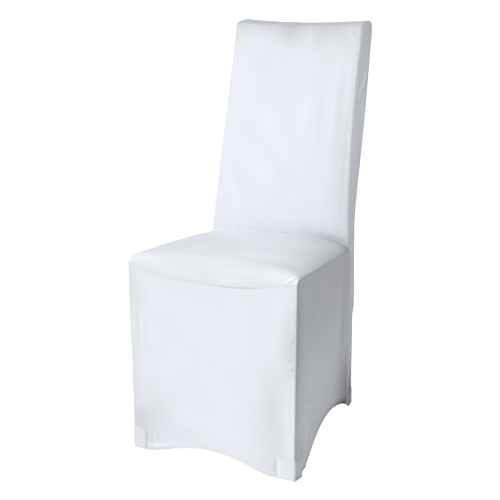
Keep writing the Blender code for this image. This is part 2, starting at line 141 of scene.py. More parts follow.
# %% [markdown]
# ## The shell
#
# The cover is one skin over a box with soft edges. `depth` is how far inside the outer skin a point
# lies, so a small negative depth lifts the cloth and a positive one pushes it in. Because every
# panel uses the same rule, two panels that meet at a seam stay together wherever the seam dips.
#
# A square corner becomes round like this: the lengths by which a point lies past the start of the
# round are shrunk together, from the larger one to their diagonal.

# %% Shell functions
def smooth_step(share):
    """Three times the square less twice the cube: from 0 to 1 with level ends."""
    share = np.clip(share, 0.0, 1.0)
    return share * share * (3.0 - 2.0 * share)


def blend(place, length):
    """Smooth step from 0 to 1 over this length, with its middle at place 0."""
    return smooth_step(place / length + 0.5)


def bump(place):
    """One less the square of the place, and never below 0."""
    return np.clip(1.0 - place**2, 0.0, 1.0)


def bell(place):
    """The power of e to minus the square of the place: 1 in the middle, and soft to both sides."""
    return np.exp(-(place**2))


def profile(column, height):
    """One column of PROFILE as a smooth curve: each span blends the slopes of its two rows."""
    known = PROFILE[:, 0]
    value = PROFILE[:, PROFILE_COLUMNS.index(column)]
    slope = np.gradient(value, known)
    height = np.clip(height, known[0], known[-1])
    row = np.clip(np.searchsorted(known, height) - 1, 0, len(known) - 2)
    span = known[row + 1] - known[row]
    share = (height - known[row]) / span
    bend = slope[row] * span * (1.0 - share) - slope[row + 1] * span * share
    line = value[row] + smooth_step(share) * (value[row + 1] - value[row])
    return line + share * (1.0 - share) * bend


def arch(sizes, place):
    """Hem height: one less the square of the place across the span, to a power, times a height."""
    across = np.clip((place - sizes["middle"]) / sizes["half"], -1, 1)
    return sizes["height"] * bump(across) ** sizes["power"]


def box_step(height):
    """How far the cloth falls in below the bottom of the seat box."""
    return BOX_STEP * (1.0 - blend(height - BOX_BOTTOM, BOX_STEP_HEIGHT))


def rear_face(height):
    """Depth of the rear face, which falls in to the rear legs below the box."""
    return profile("rear", height) - REAR_STEP / BOX_STEP * box_step(height)


def pull(height):
    """How much the cloth is drawn in between the legs: 0 at the box and 1 at the floor."""
    return smooth_step((BOX_BOTTOM - height) / BOX_BOTTOM)


def half_width(y, height):
    """Half of the lower body's width: it narrows evenly towards the back."""
    return SEAT_HALF_WIDTH - WIDTH_TAPER * y - box_step(height)


def side_edge_height(y):
    """Height of the seam beside the seat: a line that falls to the back and dips at the corner."""
    dip = SEAT_CORNER_DIP * np.exp(-(y - SEAT_FRONT) / SEAT_CORNER_LENGTH)
    return SEAT_EDGE_HEIGHT - SEAT_EDGE_FALL * y - dip


CORNER_HEIGHT = side_edge_height(SEAT_FRONT)
CREASE_DEPTH = float(profile("front", BACK_FOOT_HEIGHT))
BACK_HALF_WIDTH = half_width(CREASE_DEPTH, BACK_FOOT_HEIGHT)
SEAT_REAR_EDGE = side_edge_height(CREASE_DEPTH)


def front_seam_height(across):
    """Height of the seam under the seat's roll: it sags between the corners, more on the left."""
    return CORNER_HEIGHT - FRONT_SEAM_DIP * (1.0 - np.abs(across) ** (FRONT_SEAM_POWER - across))


def crown_share(across):
    """Root of one less a high power of the place: round at the sides and flat in the middle."""
    return np.sqrt(np.clip(1.0 - np.abs(across) ** SEAT_CROWN_POWER, 0.0, 1.0))


def crease_height(across):
    """Height of the crease between the seat and the back."""
    return SEAT_REAR_EDGE + SEAT_CROWN_REAR * crown_share(across)


def top_height(across, share):
    """Height of the top strip: it sags in the middle, and rises from its front to its rear."""
    sag = TOP_SAG + (TOP_REAR_SAG - TOP_SAG) * share
    level = TOP_FRONT_HEIGHT + (TOP_REAR_HEIGHT - TOP_FRONT_HEIGHT) * share
    return level + sag * (across - TOP_SAG_MIDDLE * (1.0 - across**2)) ** 2


def round_edges(x, y, z, width, front, rear, top, radius):
    """Soft edges: what lies past the start of a round shrinks by its largest part over its length."""
    overs = np.broadcast_arrays(
        np.maximum(np.abs(x) - (width - radius), 0.0),
        np.maximum(front + radius - y, 0.0),
        np.maximum(y - (rear - radius), 0.0),
        np.maximum(z - (top - radius), 0.0),
    )
    length = np.sqrt(sum(over**2 for over in overs))
    scale = np.where(length > 0, np.maximum.reduce(overs) / np.where(length > 0, length, 1.0), 1.0)
    side, fore, aft, up = (over * (1.0 - scale) for over in overs)
    return np.stack([x - np.sign(x) * side, y + fore - aft, z - up], axis=-1)


def round_lower(x, y, z, depth):
    """Soft upright corners of the lower body."""
    front = SEAT_FRONT + box_step(z) + depth
    width, rear = half_width(y, z) - depth, rear_face(z) - depth
    return round_edges(x, y, z, width, front, rear, np.inf, LOWER_CORNER_RADIUS - depth)


def front_surface(across, z, depth):
    """Front of the lower body, drawn in between the legs towards the floor."""
    front = SEAT_FRONT + box_step(z) + depth
    x = across * (half_width(SEAT_FRONT, z) - depth)
    point = round_lower(x, front + 0 * x, z + 0 * x, depth)
    point[..., 1] += FRONT_PULL * pull(z) * bump(across / FRONT_PULL_SHARE) ** 2
    return point


def side_surface(y, z, depth):
    """Right side of the lower body, drawn in between the legs and pushed out by the front foot."""
    x = half_width(y, z) - depth
    point = round_lower(x, y + 0 * x, z + 0 * x, depth)
    fade = np.clip((FOOT_BULGE_TOP - z) / (FOOT_BULGE_TOP - FOOT_BULGE_LEVEL), 0.0, 1.0)
    foot = bell((y - FOOT_BULGE_DEPTH) / FOOT_BULGE_LENGTH) * fade
    between = bump((y - SIDE_ARCH["middle"]) / SIDE_PULL_HALF)
    point[..., 0] += FOOT_BULGE * foot - SIDE_PULL * pull(z) * between**2
    return point


def rear_surface(across, z, depth):
    """Rear of the lower body, drawn in between the legs towards the floor."""
    rear = rear_face(z) - depth
    x = across * (half_width(rear + depth, z) - depth)
    point = round_lower(x, rear + 0 * x, z + 0 * x, depth)
    point[..., 1] -= REAR_PULL * pull(z) * bump(across / REAR_PULL_SHARE) ** 2
    return point


def back_width(rows):
    """Half the width of the back's front face, from the seat (0) to the top (1)."""
    height = BACK_FOOT_HEIGHT + rows * (top_height(1.0, 0.0) - BACK_FOOT_HEIGHT)
    return BACK_HALF_WIDTH - profile("inset", height)


def narrowing(rows, y, front):
    """Loss of half-width from the front to the rear of the back, none higher up."""
    return WIDTH_TAPER * (1.0 - smooth_step(rows / BACK_NARROWING_SHARE)) * (y - front)


def round_back(x, y, z, rows, top, depth):
    """Soft edges of the back: sharp at the seat, round higher up, and worn round at the rear top."""
    front = profile("front", z)
    rounding = smooth_step(rows / BACK_SHARP_SHARE)
    high = smooth_step(1.0 - (1.0 - rows) / TOP_REAR_SHARE)
    worn = high * smooth_step((y - TOP_REAR_PLACE) / TOP_REAR_LENGTH)
    radius = SHARP_EDGE + (BACK_CORNER_RADIUS - SHARP_EDGE) * rounding + TOP_REAR_ROUND * worn
    radius = np.maximum(radius - depth, 0.0)
    width = back_width(rows) - narrowing(rows, y, front) - depth
    rear = profile("rear", z) - depth
    return round_edges(x, y, z, width, front + depth, rear, top - depth, radius)


print("seat corner at mm:", round(1000 * CORNER_HEIGHT, 1))
print("crease at mm:", round(1000 * crease_height(0.0), 1))

# %% [markdown]
# ## Grid lines
#
# A taut knit is smooth in the middle of a panel, and all its small shapes sit at its edges. So the
# grid lines start a third of a millimetre apart at a seam, and spread until they are one STEP apart.

# %% Grid lines that crowd at the edges
STEP = 0.0032
FIRST_STEP = 0.0003
STEP_GROWTH = 1.38
EDGE_SHARE = 0.4


def spread(length, step=STEP):
    """Shares of a length: steps grow from FIRST_STEP by STEP_GROWTH up to `step`, at both ends."""
    edge = [0.0]
    stride = FIRST_STEP
    while stride < step and edge[-1] + stride < EDGE_SHARE * length:
        edge.append(edge[-1] + stride)
        stride *= STEP_GROWTH
    inner = length - 2.0 * edge[-1]
    count = max(int(round(inner / step)), 1)
    middle = edge[-1] + inner * np.arange(1, count) / count
    lines = np.concatenate([edge, middle, length - np.array(edge[::-1])])
    return lines / length


ACROSS = (2.0 * spread(2.0 * SEAT_HALF_WIDTH) - 1.0)[None, :]
TRIMMED = ACROSS * (1.0 - EDGE_TRIM)
SKIRT = spread(BACK_FOOT_HEIGHT)
BACK = spread(1.0 - BACK_FOOT_HEIGHT)
print("lines across:", ACROSS.size, " up a skirt:", len(SKIRT), " up the back:", len(BACK))

# %% [markdown]
# ## The panels as surfaces
#
# Each function below returns a surface of `depth`: the panel's grid of points at that depth under
# the outer skin. The rows run upwards (or backwards over the seat) and the columns run across.

# %% Panel surfaces
GUSSET_SPAN, TOP_SPAN, STRIP_STEP = 0.075, 0.065, 0.0028
FIRST_BACK_ROW, LAST_SKIRT_ROW = 0.004, 0.997
CREASE_POWER = 6


def seat_surface():
    """Seat: a quarter turn over the front roll, then back to the crease, raised by the crown."""
    across = ACROSS
    roll = (1.0 - spread(math.pi / 2 * SEAT_ROLL_DEPTH))[:-1] * math.pi / 2
    run = spread(CREASE_DEPTH - SEAT_ROLL_DEPTH)
    angle = np.concatenate([roll, 0 * run])[:, None]
    flat = np.concatenate([0 * roll, run])[:, None]

    def row_depth(end):
        start = SEAT_FRONT + SEAT_ROLL_DEPTH
        return start - SEAT_ROLL_DEPTH * np.sin(angle) + flat * (end - start)

    def surface(depth):
        y = row_depth(profile("front", crease_height(across)) - HALF_GAP)
        swell = SEAT_CROWN_SWELL * (4.0 * flat * (1.0 - flat)) ** SEAT_SWELL_POWER
        crown = SEAT_CROWN_FRONT + (SEAT_CROWN_REAR - SEAT_CROWN_FRONT) * flat + swell - depth
        drop = CORNER_HEIGHT - front_seam_height(across)
        base = side_edge_height(y) - drop * (1.0 - np.cos(angle))
        z = base + crown * crown_share(across) * np.cos(angle) + HALF_GAP
        share = (row_depth(CREASE_DEPTH) - SEAT_FRONT) / (CREASE_DEPTH - SEAT_FRONT)
        inner_y = y + depth * (1.0 - share) + depth * flat**CREASE_POWER * crown_share(across)
        x = across * (half_width(y, BOX_BOTTOM + BOX_STEP_HEIGHT) - depth)
        return round_lower(x, inner_y, z, depth)

    return surface


def front_skirt_surface():
    """Front skirt: rows share out the height between the arched hem and the sagging seam."""
    across = TRIMMED
    hem = arch(FRONT_ARCH, across * SEAT_HALF_WIDTH)
    z = hem + SKIRT[:, None] * (front_seam_height(ACROSS) - HALF_GAP - hem)
    return lambda depth: front_surface(across, z, depth)


def side_seam(rows):
    """Depth and height of the seam between a side skirt and its gusset, from the hem up."""
    y = SIDE_SEAM_DEPTH - (SIDE_SEAM_DEPTH - CREASE_DEPTH) * rows**SIDE_SEAM_BEND
    hem = arch(SIDE_ARCH, SIDE_SEAM_DEPTH)
    return y, hem + rows * (BACK_FOOT_HEIGHT - hem)


def skirt_line(share, rows, z, depth):
    """Depth y of a side skirt's upright line that lies a share of the way to the gusset."""
    fore = SEAT_FRONT + box_step(z) + depth
    return fore + share * (side_seam(rows)[0] - SEAM_GAP - fore)


def side_skirt_surface():
    """Right side skirt: rows share out the height between the arched hem and the seat's seam."""
    rows = SKIRT[:, None]
    share = spread(CREASE_DEPTH - SEAT_FRONT)[None, :]
    edge = side_edge_height(SEAT_FRONT + share * (CREASE_DEPTH - SEAT_FRONT)) - HALF_GAP

    def surface(depth):
        hem = arch(SIDE_ARCH, skirt_line(share, rows, rows * edge, depth))
        z = hem + rows * (edge - hem)
        y = skirt_line(share, rows, z, depth) + SEAM_GAP * (1.0 - share)
        return side_surface(y, z, depth)

    return surface


def inside_back_surface():
    """Inside back: from the crease to the top seam, swelling forward in the middle."""
    across, rows = TRIMMED, BACK[:, None]
    top = top_height(ACROSS, 0.0)

    def surface(depth):
        low = crease_height(ACROSS) - CREASE_TUCK - depth * crown_share(ACROSS)
        z = low + rows * (top - TOP_HALF_GAP - depth - low)
        x = across * (back_width(rows) - depth)
        point = round_back(x, profile("front", z) + depth + 0 * x, z, rows, top, depth)
        swell = (1.0 - across**2) ** BACK_CROWN_SIDE_POWER
        point[..., 1] -= BACK_CROWN * swell * (4.0 * rows * (1.0 - rows)) ** BACK_CROWN_RISE_POWER
        return point

    return surface


def tall_rows():
    """Heights at the front and rear edge of each row from floor to top, and its share of the back."""
    seam_y, seam_z = side_seam(SKIRT)
    back = BACK[BACK > FIRST_BACK_ROW]
    low = SKIRT < LAST_SKIRT_ROW
    front_top, rear_top = (top_height(1.0, end) - TOP_HALF_GAP for end in (0.0, 1.0))
    front_back = BACK_FOOT_HEIGHT + back * (front_top - BACK_FOOT_HEIGHT)
    rear_back = 1.0 + back * (rear_top / BACK_FOOT_HEIGHT - 1.0)
    front_z = np.concatenate([seam_z[low], [BACK_FOOT_HEIGHT], front_back])
    rear_z = np.concatenate([SKIRT[low], [1.0], rear_back]) * BACK_FOOT_HEIGHT
    count = int(low.sum()) + 1
    front_y = np.concatenate([seam_y[low], [CREASE_DEPTH], profile("front", front_z[count:])])
    share = np.concatenate([np.zeros(count), back])
    return tuple(values[:, None] for values in (front_y, front_z, rear_z, share))


def gusset_surface():
    """Right gusset: a strip over the rear leg that widens into the side of the back."""
    front_y, front_z, rear_z, share = tall_rows()
    column = spread(GUSSET_SPAN, STRIP_STEP)[None, :]
    upper = share > 0

    def surface(depth):
        fore = front_y + SEAM_GAP
        fore = np.where(front_z >= BACK_FOOT_HEIGHT - SEAM_GAP, fore + depth, fore)
        z = front_z + column * (rear_z - front_z) - np.where(upper, depth * share, 0.0)
        y = fore + column * (rear_face(z) - depth - fore) - SEAM_GAP * column
        hem = arch(SIDE_ARCH, y)
        z = np.where(upper, z, hem + rear_z / BACK_FOOT_HEIGHT * (BACK_FOOT_HEIGHT - hem))
        y = np.where(upper, fore + column * (profile("rear", z) - depth - SEAM_GAP - fore), y)
        x = back_width(share) - narrowing(share, y, profile("front", z)) - depth
        above = round_back(x, y, z, share, top_height(1.0, column), depth)
        fade = smooth_step(share / GUSSET_HOLLOW_START)
        fade = fade * smooth_step((1.0 - share) / GUSSET_HOLLOW_END)
        above[..., 0] -= GUSSET_HOLLOW * 4.0 * column * (1.0 - column) * fade
        return np.where(upper[..., None], above, side_surface(y, z, depth))

    return surface


def outside_back_surface():
    """Rear panel from the hem to the top's rear seam, a little hollow over the open back."""
    rear_z, share = tall_rows()[2:]
    across = TRIMMED
    hem = arch(REAR_ARCH, across * BACK_HALF_WIDTH)
    top = top_height(ACROSS, 1.0)
    upper = share > 0

    def surface(depth):
        upper_z = BACK_FOOT_HEIGHT + share * (top - TOP_HALF_GAP - depth - BACK_FOOT_HEIGHT)
        z = np.where(upper, upper_z, hem + rear_z / BACK_FOOT_HEIGHT * (BACK_FOOT_HEIGHT - hem))
        rear = profile("rear", z)
        width = back_width(share) - narrowing(share, rear, profile("front", z))
        above = round_back(across * (width - depth), rear - depth, z, share, top, depth)
        above[..., 1] -= BACK_HOLLOW * (1.0 - across**2) * np.sqrt(4.0 * share * (1.0 - share))
        return np.where(upper[..., None], above, rear_surface(across, z, depth))

    return surface


def top_surface():
    """Top strip between the two gussets: columns across the back, rows from front to rear."""
    across = TRIMMED
    column = spread(TOP_SPAN, STRIP_STEP)[:, None]
    top = top_height(ACROSS, column)

    def surface(depth):
        fore = profile("front", top_height(ACROSS, 0.0)) + depth + TOP_HALF_GAP
        aft = profile("rear", top_height(ACROSS, 1.0)) - depth - TOP_HALF_GAP
        y = fore + column * (aft - fore)
        return round_back(across * (back_width(1.0) - depth), y, top - depth, 1.0, top, depth)

    return surface


PANELS = {
    "seat": seat_surface(),
    "front_skirt": front_skirt_surface(),
    "side_skirt_right": side_skirt_surface(),
    "inside_back": inside_back_surface(),
    "outside_back": outside_back_surface(),
    "side_gusset_right": gusset_surface(),
    "top_gusset": top_surface(),
}
for panel_name, panel in PANELS.items():
    print(panel_name, "grid", panel(0.0).shape[:2])

# %% [markdown]
# ## Seams, hems and folds
#
# A lock-stitched seam pulls both panels in along a narrow groove, with a low lip beside it where the
# allowance lies. Taut knit also puckers there: short ridges stand across the seam and die out within
# a centimetre or two. A tension fold is a soft ridge or trough along a short line. A hem is the
# panel's own edge turned up once, so a band a finger wide is a little higher, with a row of stitches
# along its upper edge. Under a foot patch the cloth is pressed flat.
#
# All heights are zero at the seam line itself, apart from the groove, so that both panels agree.

# %% Height functions
GROOVE_DEPTH, GROOVE_WIDTH = 0.0010, 0.0026
# Painted shade: a dark line along each seam's groove, its width and how dark it is.
LINE_WIDTH, LINE_SHADE = 0.0014, 0.26
LIP_PLACE, LIP_HALF, LIP_RISE = 0.0034, 0.0016, 0.0006
FRONT_SEAM_PLACE, FRONT_SEAM_HALF, FAINT_SEAM, PLAIN_SEAM = 0.070, 0.050, 0.10, 0.35
# Painted light and shade of the folds: the colour is lighter on ridges and darker in troughs, per metre of
# height.
FOLD_PAINTED_SHADING = 45.0
SEAM_CLEAR = 0.0035
HEM_WIDTH = 0.0110
HEM_RAISE = 0.00055
CLOTH = 0.0009
HEM_CLOTH = 0.0018
WANDER, WANDER_RATE, WANDER_PHASE, FOLD_END_POWER = 0.25, 5.0, 40.0, 0.8
PUCKER_MEAN, PUCKER_BEAT, PUCKER_SHIFT = 0.55, 11.0, 3.0
PATCH_BLEND = 0.003


def uneven(place, length, seed):
    """Sum of four waves of about this length with unlike phases, from about -1 to 1."""
    rates = np.array((0.61, 1.0, 1.47, 2.23)) * 2.0 * math.pi / length
    sizes = np.array((0.9, 1.0, 0.7, 0.4)) / 2.0
    phases = seed * np.array((1.7, 2.9, 4.3, 6.1))
    return sum(size * np.sin(rate * place + phase) for rate, size, phase in zip(rates, sizes, phases))


def edge_distances(points):
    """Way over the cloth to the four edges of a grid: "left" and "low" are also its flat place."""
    along = np.linalg.norm(np.diff(points, axis=1), axis=-1)
    up = np.linalg.norm(np.diff(points, axis=0), axis=-1)
    u = np.concatenate([np.zeros((len(points), 1)), np.cumsum(along, axis=1)], axis=1)
    v = np.concatenate([np.zeros((1, points.shape[1])), np.cumsum(up, axis=0)], axis=0)
    return {"left": u, "right": u[:, -1:] - u, "low": v, "high": v[-1:] - v}


def fold_height(first, second, folds):
    """Folds along short lines: a bell across the line times a soft start and end along it."""
    height = np.zeros_like(first)
    for a0, b0, a1, b1, width, rise in folds:
        run_a, run_b = a1 - a0, b1 - b0
        length = math.hypot(run_a, run_b)
        along = ((first - a0) * run_a + (second - b0) * run_b) / length**2
        off = ((first - a0) * run_b - (second - b0) * run_a) / length
        wander = WANDER * width * np.sin(WANDER_RATE * along + WANDER_PHASE * a0)
        ends = bump(2.0 * np.clip(along, 0.0, 1.0) - 1.0) ** FOLD_END_POWER
        height += rise * bell((off - wander) / width) * ends
    return height


def pucker_height(distance, along, size, length, reach, seed):
    """Short ridges across a seam: waves along it, none at the seam, most at `reach` from it."""
    near = distance / reach
    beat = uneven(along, PUCKER_BEAT * length, seed + PUCKER_SHIFT)
    strength = PUCKER_MEAN + (1.0 - PUCKER_MEAN) * beat
    return size * uneven(along, length, seed) * strength * near * np.exp(1.0 - near)


def seam_strength(name, edge, first):
    """How much a seam shows: not in the crease, and in the front only right of the middle."""
    if CREASED.get(name) == edge:
        return 0.0 * first
    if FRONT_SEAM.get(name) == edge:
        return FAINT_SEAM + (1.0 - FAINT_SEAM) * bell((first - FRONT_SEAM_PLACE) / FRONT_SEAM_HALF)
    return PLAIN_SEAM + 0.0 * first


def under_patch(name, first, second):
    """Share by which a place lies under a foot patch, where the cloth is pressed flat."""
    across = np.where(first < 0, LEFT_PATCH_ACROSS, PATCH_ACROSS)
    front = across * SEAT_HALF_WIDTH - PATCH_MARGIN
    rear = PATCH_ACROSS * BACK_HALF_WIDTH - PATCH_MARGIN
    side = np.maximum(FRONT_PATCH["side_length"] + PATCH_MARGIN - first, first - REAR_PATCH_START)
    edges = {
        "front_skirt": (np.abs(first) - front, FRONT_PATCH["face_height"]),
        "outside_back": (np.abs(first) - rear, REAR_PATCH["face_height"]),
        "side_skirt": (side, FRONT_PATCH["side_height"] + PATCH_MARGIN),
        "gusset": (first - REAR_PATCH_START, REAR_PATCH["face_height"]),
    }
    if name not in edges:
        return 0.0 * first
    inside, height = edges[name]
    above = height + PATCH_MARGIN - second
    return blend(inside, PATCH_BLEND) * blend(above, PATCH_BLEND)


print("a seam groove is", 1000 * GROOVE_DEPTH, "mm deep, and a hem", 1000 * HEM_WIDTH, "mm wide")

# %% [markdown]
# ## What the photo shows on each panel
#
# FOLDS lists the single folds. On the front and back panels the two places are x and z, on the side
# panels y and z, on the top strip x and y, and on the seat x and the way over the cloth from the
# front seam. A positive rise is a ridge and a negative one a trough. PUCKERS lists the puckered edges
# of each panel: the wave's size, its length along the seam, and how far from it it is strongest.
#
# The photo's soft tones are painted light and painted shade in the cloth's colour, from two more tables.
# EDGE_SHADES gives the painted shade along a panel's edge and how fast it fades, and the table of zones
# gives wide soft spots of painted light and shade; low near the legs, the darker spots are partly the dark
# legs showing through the thin cloth and partly painted shade. A negative loss is painted light.

# %% Folds, puckers and painted light and shade
MM = 0.001


def in_metres(columns, table):
    """The table with the values of its columns in mm turned into metres."""
    scales = [MM if column.endswith(" mm") else 1 for column in columns]
    return {
        name: [[scale * value for scale, value in zip(scales, row)] for row in rows]
        for name, rows in table.items()
    }


FOLD_COLUMNS = ("from first mm", "from second mm", "to first mm", "to second mm", "width mm", "rise mm")
FOLDS = in_metres(FOLD_COLUMNS, {
    "inside_back": (
        (-12, 1020, -28, 960, 24, -0.9), (34, 1020, 43, 955, 8, 0.8), (60, 1020, 84, 960, 18, -0.6),
        (143, 1000, 156, 991, 2.8, 1.4), (155, 1001, 169, 990, 2.8, -1.4),
        (163, 1004, 177, 992, 2.6, 1.3), (-150, 1016, -143, 985, 8, -0.5),
        (177, 470, 176.5, 860, 2.8, 0.6), (170, 500, 169, 800, 5, -0.7), (150, 560, 152, 900, 14, -0.7),
        (120, 620, 128, 980, 10, 0.7), (90, 640, 100, 980, 8, -0.5), (158, 760, 162, 985, 6, 0.7),
        (50, 700, 60, 960, 9, 0.4), (-60, 600, -56, 940, 12, 0.4), (160, 505, 177, 512, 2.2, 1.2),
        (159, 523, 177, 530, 2.2, 1.2), (160, 541, 176, 549, 2.4, 1.2), (161, 562, 177, 568, 2.2, 1.2),
        (161, 586, 176, 592, 2.2, 1.2), (162, 742, 176, 748, 2.6, 1.2), (-120, 520, -150, 640, 10, 0.4),
        (110, 492, 182, 474, 6, -1.2),
    ),
    "seat": (
        (-150, 16, 70, 10, 4, 0.4), (-120, 30, 120, 22, 5, -0.4), (-60, 43, 150, 36, 5, 0.4),
        (186, 3, 216, 22, 2.2, 1.8), (180, 10, 213, 31, 2.6, -0.9), (191, 1, 216, 13, 2, -1.3),
        (100, 380, 190, 330, 14, -1.6), (60, 400, 170, 395, 12, -1.2), (-185, 60, -150, 200, 8, -0.4),
    ),
    "front_skirt": (
        (218, 279, 204, 274, 1.8, -2.2), (218, 291, 192, 285, 3.2, 2), (217, 304, 198, 310, 3, -1),
        (217, 330, 202, 318, 3, 1.1), (217, 352, 200, 340, 3.4, -1.2), (217, 384, 204, 376, 3, 1),
        (217, 415, 200, 408, 3, -0.9), (203, 280, 205, 440, 3, 0.8), (-204, 250, -203, 440, 2.6, 0.7),
        (-192, 230, -190, 430, 3, -0.7), (-181, 260, -180, 400, 2.8, 0.6),
        (-168, 250, -168, 410, 3, -0.4), (-176, 10, -177, 80, 2.4, -1.2), (-169, 16, -168, 64, 2, 0.9),
        (-162, 20, -161, 60, 2, -1), (-154, 23, -152, 58, 2, 0.8), (-146, 25, -143, 56, 2, -0.8),
        (-137, 27, -133, 54, 2, 0.6), (-178, 12.5, -100, 26, 4.5, 2.6), (-120, 22.5, -30, 37, 4.5, 1.2),
        (168, 2, 167, 58, 3, -1.4), (160, 10, 157, 50, 2.4, 0.9), (152, 10, 175, 14, 1.8, 0.9),
        (154, 17, 174, 21, 1.8, -0.9), (-165, 60, -150, 200, 26, -0.3), (166, 40, 158, 280, 22, -0.8),
        (192, 60, 198, 230, 7, 0.8), (-40, 270, 120, 230, 20, -0.3), (-120, 120, 60, 80, 24, 0.4),
    ),
    "side_skirt": (
        (48, 30, 120, 110, 3, 2.2), (60, 24, 135, 106, 3, -1.8), (40, 50, 100, 140, 4, -1.4),
        (34, 46, 64, 90, 3, 2.6), (18, 48, 48, 66, 3, -2.4), (12, 56, 36, 78, 2.6, 2),
        (70, 20, 110, 56, 2.6, 2.2), (120, 100, 250, 85, 5, 1), (20, 180, 160, 150, 7, -1),
        (60, 120, 70, 430, 12, 0.5), (300, 80, 330, 400, 16, 0.7), (340, 240, 345, 420, 6, 0.9),
        (390, 80, 395, 430, 6, 1.3), (370, 120, 372, 430, 5, -1.1), (408, 160, 410, 430, 3.5, -0.9),
        (190, 180, 230, 380, 24, -0.5),
    ),
    "gusset": (
        (576, 916, 506, 836, 6.2, 4), (572, 884, 520, 816, 3.6, -2.2), (553, 914, 511, 868, 3, -1.3),
        (556, 846, 508, 806, 3, 1.2), (520, 700, 560, 980, 5.5, 1.7), (540, 640, 585, 950, 5, -1.8),
        (490, 620, 520, 840, 5, -1.4), (418, 480, 486, 800, 3.4, 2), (470, 500, 530, 780, 4, -1.4),
        (445, 60, 443, 440, 6, 0.6), (462, 60, 456, 280, 4, -0.5),
    ),
    "outside_back": (
        (10, 1018, 20, 950, 12, -1), (-70, 1018, -60, 960, 10, 0.7), (90, 1018, 80, 970, 9, -0.6),
        (-150, 280, -190, 330, 8, 0.8), (150, 280, 190, 335, 8, 0.8), (-100, 285, 110, 280, 10, -1),
        (-165, 60, -140, 240, 22, -1.6), (160, 60, 140, 240, 22, -1.6), (60, 420, 50, 900, 30, 0.8),
    ),
    "top_gusset": (
        (-10, 535, -4, 590, 10, -0.8), (60, 535, 52, 590, 8, 0.6), (120, 535, 126, 590, 8, -0.5),
    ),
})

PUCKER_COLUMNS = ("edge", "size mm", "length mm", "reach mm", "seed")
PUCKERS = in_metres(PUCKER_COLUMNS, {
    "inside_back": (
        ("right", 0.42, 11, 6, 1), ("left", 0.32, 13, 6, 2), ("high", 0.4, 22, 9, 3),
        ("low", 0.3, 30, 12, 4),
    ),
    "seat": (
        ("right", 1.2, 15, 5.5, 5), ("left", 0.45, 12, 5.5, 6), ("low", 0.22, 18, 6, 7),
        ("high", 0.6, 26, 12, 8),
    ),
    "front_skirt": (
        ("right", 0.7, 14, 6, 9), ("left", 0.35, 14, 6, 10), ("high", 0.22, 16, 5, 11),
        ("low", 0.3, 14, 10, 12),
    ),
    "side_skirt": (
        ("left", 0.7, 14, 6, 13), ("high", 1.2, 15, 7, 14), ("right", 0.25, 15, 5, 15),
        ("low", 0.3, 12, 9, 16),
    ),
    "gusset": (("left", 0.3, 13, 5, 17), ("right", 0.3, 14, 5, 18), ("high", 0.25, 15, 6, 19)),
    "outside_back": (
        ("left", 0.3, 14, 5.5, 20), ("right", 0.3, 13, 5.5, 21), ("high", 0.35, 20, 8, 22),
        ("low", 0.3, 14, 10, 23),
    ),
    "top_gusset": (("low", 0.25, 18, 5, 24), ("high", 0.25, 20, 5, 25)),
})

# Painted shade along each panel's edge, such as the dark rim of the side hem and the darker top strip; a
# negative loss is painted light.
SHADE_COLUMNS = ("edge", "reach mm", "loss at the edge")
EDGE_SHADES = in_metres(SHADE_COLUMNS, {
    "inside_back": (
        ("high", 22, 0.23), ("right", 15, 0.17), ("left", 4, 0.05), ("low", 30, 0.03),
        ("low", 3, -0.14),
    ),
    "seat": (("right", 18, -0.09), ("low", 30, 0.03), ("high", 40, 0.15), ("high", 4, -0.12)),
    "front_skirt": (("low", 12, 0.06), ("left", 12, 0.1)),
    "side_skirt": (("high", 4, 0.07), ("low", 5, 0.75), ("left", 12, 0.17), ("right", 5, 0.12)),
    "gusset": (("right", 6, 0.38),),
    "outside_back": (("high", 26, 0.1), ("low", 12, 0.06)),
    "top_gusset": (("low", 200, 0.3),),
})

# Painted light and shade in wide soft spots; low near the legs the darker ones are partly the dark legs
# showing through the thin cloth.
ZONE_COLUMNS = ("first mm", "second mm", "half first mm", "half second mm", "loss")
PAINTED_SHADE_ZONES = in_metres(ZONE_COLUMNS, {
    "inside_back": (
        (-20, 1005, 36, 40, 0.09), (80, 1000, 50, 50, 0.06), (172, 600, 20, 160, 0.09),
        (140, 700, 30, 200, 0.035), (70, 488, 50, 16, 0.05), (140, 474, 45, 16, 0.17),
        (0, 960, 300, 120, 0.045),
    ),
    "seat": (
        (190, 330, 60, 160, 0.11), (200, 440, 60, 60, 0.3), (0, 370, 90, 80, 0.09),
        (120, 380, 70, 100, 0.11), (0, 52, 300, 20, 0.09), (10, 96, 300, 18, -0.04),
        (206, 50, 22, 35, -0.08), (150, 445, 50, 24, 0.15), (80, 125, 140, 40, -0.05),
    ),
    "front_skirt": (
        (-155, 85, 60, 80, 0.06), (-195, 78, 34, 36, 0.12), (158, 130, 52, 130, 0.085),
        (160, 28, 30, 30, 0.06), (206, 335, 24, 85, 0.17), (213, 276.5, 6, 2, 0.22),
        (-172, 32, 9, 18, 0.1), (203, 110, 12, 90, -0.04), (0, 300, 200, 250, -0.045),
    ),
    "side_skirt": (
        (430, 60, 90, 100, 0.44), (385, 330, 35, 180, 0.1), (350, 45, 30, 12, 0.2),
        (400, 28, 30, 14, 0.26), (0, 330, 40, 160, 0.13), (220, 430, 260, 150, 0.115),
        (170, 200, 150, 120, -0.12), (80, 85, 32, 60, -0.12), (200, 200, 9000, 9000, 0.11),
    ),
    "gusset": (
        (475, 20, 75, 90, 0.58), (600, 1016, 14, 12, 0.38), (500, 980, 200, 120, 0.02),
        (500, 790, 200, 200, -0.17), (450, 500, 100, 80, -0.01), (450, 200, 200, 240, 0.1),
    ),
    "outside_back": ((-160, 100, 50, 110, 0.08), (160, 100, 50, 110, 0.08)),
    "top_gusset": ((190, 600, 16, 30, 0.3),),
})

